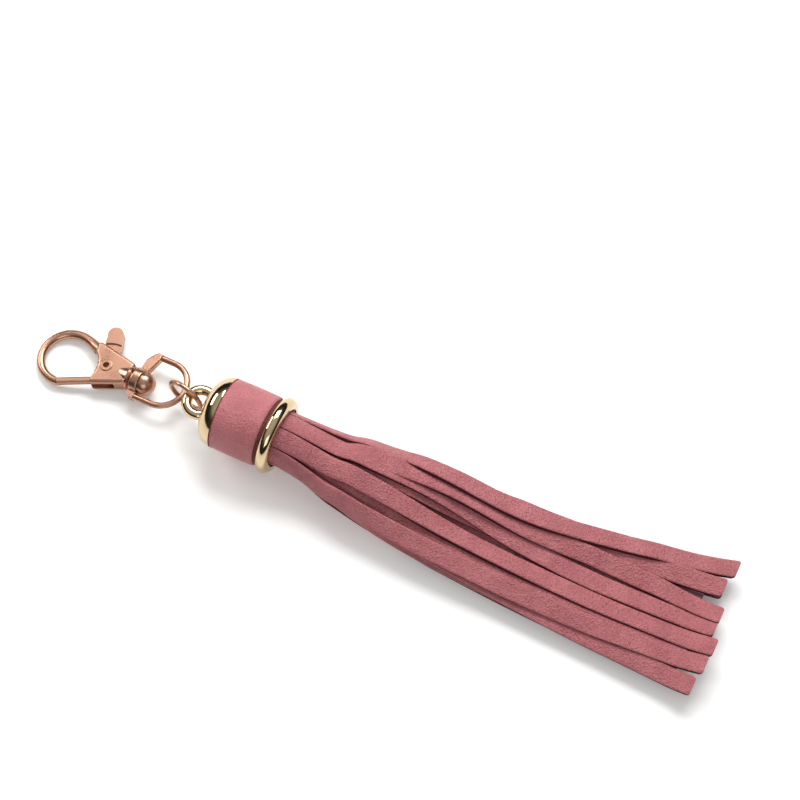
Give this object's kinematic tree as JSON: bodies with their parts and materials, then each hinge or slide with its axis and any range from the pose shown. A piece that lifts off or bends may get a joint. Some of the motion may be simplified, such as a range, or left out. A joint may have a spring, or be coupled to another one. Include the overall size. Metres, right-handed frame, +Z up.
{
  "type": "tassel keychain",
  "caption": "Leather tassel keychain: sprung swivel clasp, jump ring, metal cap with a leather band and a fringe of flat leather strips.",
  "frame": {"origin": "middle of the footprint, on the table that the keychain lies on", "axes": "+X along the keychain from the clasp to the tips of the fringe, +Z up off the table"},
  "size_m": [0.175, 0.0352, 0.0188],
  "materials": {
    "rose_gold": "polished rose gold plating on a zinc casting",
    "pale_gold": "polished pale gold plating",
    "spring_steel": "drawn spring wire",
    "band_leather": "fine pebble grain, salmon pink",
    "fringe_leather": "fine pebble grain face with a woven backing, salmon pink"
  },
  "bodies": {
    "cap": {"tassel_cap": "pale_gold", "leather_band": "band_leather", "trim_ring": "pale_gold", "header_roll": "fringe_leather", "strand_01": "fringe_leather", "strand_02": "fringe_leather", "strand_03": "fringe_leather", "strand_04": "fringe_leather", "strand_05": "fringe_leather", "strand_06": "fringe_leather", "strand_07": "fringe_leather", "strand_08": "fringe_leather", "strand_09": "fringe_leather", "strand_10": "fringe_leather", "strand_11": "fringe_leather", "strand_12": "fringe_leather", "strand_13": "fringe_leather", "strand_14": "fringe_leather", "strand_15": "fringe_leather", "strand_16": "fringe_leather", "strand_17": "fringe_leather", "strand_18": "fringe_leather", "strand_19": "fringe_leather", "strand_20": "fringe_leather", "strand_21": "fringe_leather", "strand_22": "fringe_leather", "strand_23": "fringe_leather", "strand_24": "fringe_leather", "strand_25": "fringe_leather", "strand_26": "fringe_leather", "strand_27": "fringe_leather"},
    "jump_ring": {"jump_ring": "rose_gold"},
    "bail": {"swivel_bail": "rose_gold"},
    "clasp": {"clasp_body": "rose_gold", "pivot_pin": "rose_gold", "gate_spring": "spring_steel", "swivel_rivet": "rose_gold"},
    "gate": {"gate_lever": "rose_gold"}
  },
  "joints": [
    {"name": "ring_swing", "type": "hinge", "parent": "cap", "child": "jump_ring", "pos_m": [-0.0467, -0.00112, 0.0094], "axis": [0.2079, 0.9781, 0], "range_deg": [-18, 90]},
    {"name": "bail_swing", "type": "hinge", "parent": "jump_ring", "child": "bail", "pos_m": [-0.04968, -0.00049, 0.00483], "axis": [0.2079, 0.9781, 0], "range_deg": [-75, 30]},
    {"name": "clasp_swivel", "type": "hinge", "parent": "bail", "child": "clasp", "pos_m": [-0.06046, -0.00104, 0.00373], "axis": [0.9943, -0.0347, 0.1011], "continuous": true},
    {"name": "gate_hinge", "type": "hinge", "parent": "clasp", "child": "gate", "pos_m": [-0.06942, -0.00093, 0.00282], "axis": [0.101, -0.0035, -0.9949], "range_deg": [0, 28], "stiffness_Nm_per_rad": 0.003, "springref_deg": -22.92}
  ]
}
